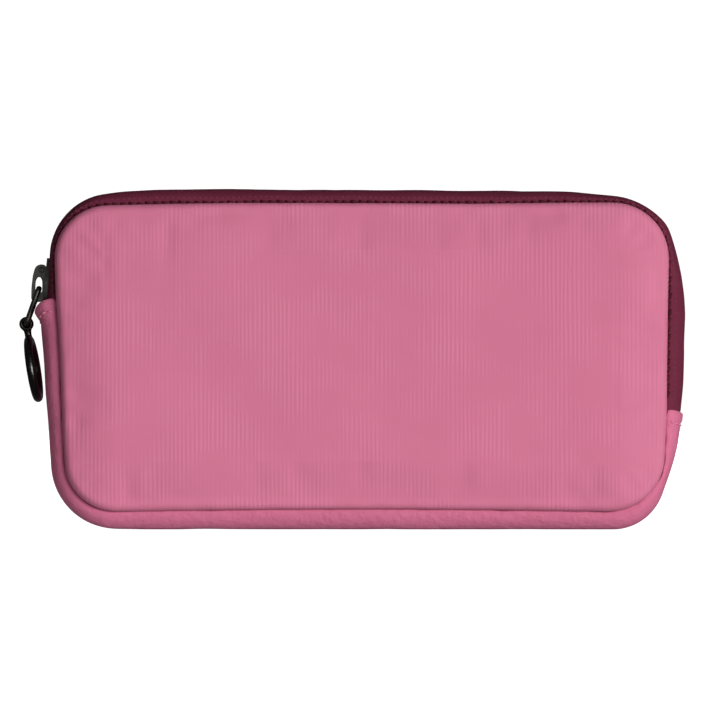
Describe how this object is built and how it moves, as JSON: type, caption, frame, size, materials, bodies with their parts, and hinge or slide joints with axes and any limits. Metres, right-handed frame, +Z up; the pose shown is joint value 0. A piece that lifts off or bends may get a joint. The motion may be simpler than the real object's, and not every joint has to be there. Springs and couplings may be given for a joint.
{
  "type": "cable organizer pouch",
  "caption": "Flat padded zip pouch for cables, with a gusset that stands upright, a wrap-around zip with ring pull, and an inner mesh pocket and elastic cable loops.",
  "frame": {"origin": "middle of the flat strip along the bottom gusset, on which the pouch stands", "axes": "+X to the pouch's right seen from the front, -Y the front panel's side, +Z up"},
  "size_m": [0.2066, 0.0362, 0.1048],
  "materials": {
    "shell": "ribbed woven, coated, satin",
    "gusset": "smooth coated, satin",
    "zip_tape": "fine woven tape, matte",
    "zip_coil": "nylon coil, satin",
    "lining": "plain weave, matte",
    "foam": "thin sewn-in padding, matte",
    "binding": "woven tape, matte",
    "mesh": "knitted mesh, matte",
    "elastic": "ribbed elastic, matte",
    "gunmetal": "plated gunmetal, satin",
    "black_metal": "black plated, glossy"
  },
  "bodies": {
    "pouch": {"back_panel": "shell", "back_foam": "foam", "back_lining": "lining", "front_panel_lower": "shell", "front_foam_lower": "foam", "front_lining_lower": "lining", "bottom_gusset": "gusset", "gusset_lining": "lining", "back_zip_tape": "zip_tape", "back_zip_coil": "zip_coil", "back_seam_binding": "binding", "front_seam_binding_lower": "binding", "mesh_pocket": "mesh", "pocket_hem": "elastic", "cable_elastic": "elastic"},
    "flap": {"front_panel_upper": "shell", "front_foam_upper": "foam", "front_lining_upper": "lining", "front_zip_tape": "zip_tape", "front_zip_coil": "zip_coil", "front_seam_binding_upper": "binding"},
    "slider": {"slider_body": "gunmetal", "slider_cap": "gunmetal"},
    "link": {"pull_link": "gunmetal"},
    "ring": {"ring_pull": "black_metal"}
  },
  "joints": [
    {"name": "mouth_open", "type": "hinge", "parent": "pouch", "child": "flap", "pos_m": [0, -0.0183, 0.05375], "axis": [0.9846, 0, -0.1751], "range_deg": [0, 40], "deforming": ["front_zip_tape", "front_zip_coil"]},
    {"name": "slider_travel", "type": "hinge", "parent": "pouch", "child": "slider", "pos_m": [-0.073, 0, 0.0812], "axis": [0, 1, 0], "range_deg": [0, 90]},
    {"name": "pull_swing", "type": "hinge", "parent": "slider", "child": "link", "pos_m": [-0.1001, 0, 0.0748], "axis": [0, 1, 0], "range_deg": [0, 150]},
    {"name": "ring_swing", "type": "hinge", "parent": "link", "child": "ring", "pos_m": [-0.104, 0, 0.0638], "axis": [0, 1, 0], "range_deg": [-2, 45]}
  ]
}
